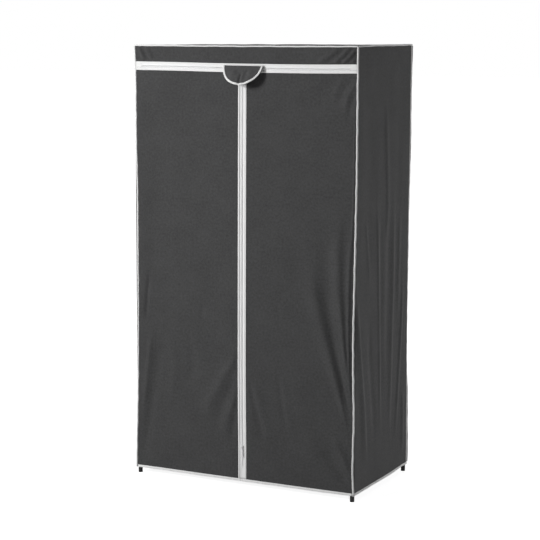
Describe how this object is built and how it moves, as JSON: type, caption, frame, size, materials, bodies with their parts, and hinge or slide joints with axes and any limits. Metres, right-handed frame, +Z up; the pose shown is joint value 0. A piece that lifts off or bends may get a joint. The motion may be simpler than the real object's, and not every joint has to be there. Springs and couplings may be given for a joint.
{
  "type": "portable fabric wardrobe",
  "caption": "Free-standing cloth wardrobe on a tube frame, with zipped cloth doors, a rail for hangers and a half-round flap over the zips.",
  "frame": {"origin": "bottom centre of the whole object's box, on the floor", "axes": "+Z up, +X to the right as seen from the front, +Y from the front to the back"},
  "size_m": [0.9, 0.545, 1.6],
  "materials": {
    "cloth": "matt woven cloth",
    "piping": "matt white binding",
    "tape": "woven white tape",
    "zip": "satin white",
    "steel": "satin paint",
    "fitting": "moulded, satin"
  },
  "bodies": {
    "wardrobe_body": {"foot_fitting_front_left": "fitting", "lower_post_front_left": "steel", "post_coupler_front_left": "fitting", "upper_post_front_left": "steel", "top_fitting_front_left": "fitting", "corner_piping_front_left": "piping", "foot_fitting_front_right": "fitting", "lower_post_front_right": "steel", "post_coupler_front_right": "fitting", "upper_post_front_right": "steel", "top_fitting_front_right": "fitting", "corner_piping_front_right": "piping", "foot_fitting_back_right": "fitting", "lower_post_back_right": "steel", "post_coupler_back_right": "fitting", "upper_post_back_right": "steel", "top_fitting_back_right": "fitting", "corner_piping_back_right": "piping", "foot_fitting_back_left": "fitting", "lower_post_back_left": "steel", "post_coupler_back_left": "fitting", "upper_post_back_left": "steel", "top_fitting_back_left": "fitting", "corner_piping_back_left": "piping", "bottom_rail_front": "steel", "bottom_rail_back": "steel", "bottom_rail_left": "steel", "bottom_rail_right": "steel", "top_rail_front": "steel", "top_rail_back": "steel", "top_rail_left": "steel", "top_rail_right": "steel", "hanging_rail": "steel", "rail_holder_left": "fitting", "rail_holder_right": "fitting", "top_panel": "cloth", "back_panel": "cloth", "side_panel_left": "cloth", "side_panel_right": "cloth", "front_band": "cloth", "top_piping": "piping", "hem_binding_cover": "piping", "zip_tape_band": "tape", "zip_chain_top": "zip"},
    "left_door": {"door_panel_left": "cloth", "hem_binding_door_left": "piping", "zip_tape_door_left": "tape"},
    "right_door": {"door_panel_right": "cloth", "hem_binding_door_right": "piping", "zip_tape_door_right": "tape", "zip_chain_door": "zip"},
    "door_slider": {"zip_slider_door": "zip"},
    "door_tab": {"pull_tab_door": "zip"},
    "left_slider": {"zip_slider_left": "zip"},
    "left_tab": {"pull_tab_left": "zip"},
    "right_slider": {"zip_slider_right": "zip"},
    "right_tab": {"pull_tab_right": "zip"},
    "flap": {"zip_flap": "cloth", "zip_flap_binding": "piping"}
  },
  "joints": [
    {"name": "left_door_fold", "type": "hinge", "parent": "wardrobe_body", "child": "left_door", "pos_m": [-0.4468, -0.22432, 0.8], "axis": [0, 0, -1], "range_deg": [0, 240]},
    {"name": "right_door_fold", "type": "hinge", "parent": "wardrobe_body", "child": "right_door", "pos_m": [0.4468, -0.22432, 0.8], "axis": [0, 0, 1], "range_deg": [0, 240]},
    {"name": "door_zip_slide", "type": "slide", "parent": "right_door", "child": "door_slider", "axis": [0, 0, 1], "range_m": [-0.064, 1.36]},
    {"name": "door_tab_swing", "type": "hinge", "parent": "door_slider", "child": "door_tab", "pos_m": [0, -0.23202, 0.151], "axis": [-1, 0, 0], "range_deg": [0, 165]},
    {"name": "left_zip_slide", "type": "slide", "parent": "wardrobe_body", "child": "left_slider", "axis": [-1, 0, 0], "range_m": [0, 0.404]},
    {"name": "left_tab_swing", "type": "hinge", "parent": "left_slider", "child": "left_tab", "pos_m": [-0.0073, -0.23202, 1.526], "axis": [-1, 0, 0], "range_deg": [0, 30]},
    {"name": "right_zip_slide", "type": "slide", "parent": "wardrobe_body", "child": "right_slider", "axis": [1, 0, 0], "range_m": [0, 0.404]},
    {"name": "right_tab_swing", "type": "hinge", "parent": "right_slider", "child": "right_tab", "pos_m": [0.0073, -0.23202, 1.526], "axis": [-1, 0, 0], "range_deg": [0, 30]},
    {"name": "flap_lift", "type": "hinge", "parent": "wardrobe_body", "child": "flap", "pos_m": [0.008, -0.22592, 1.5344], "axis": [-1, 0, 0], "range_deg": [0, 85]}
  ]
}
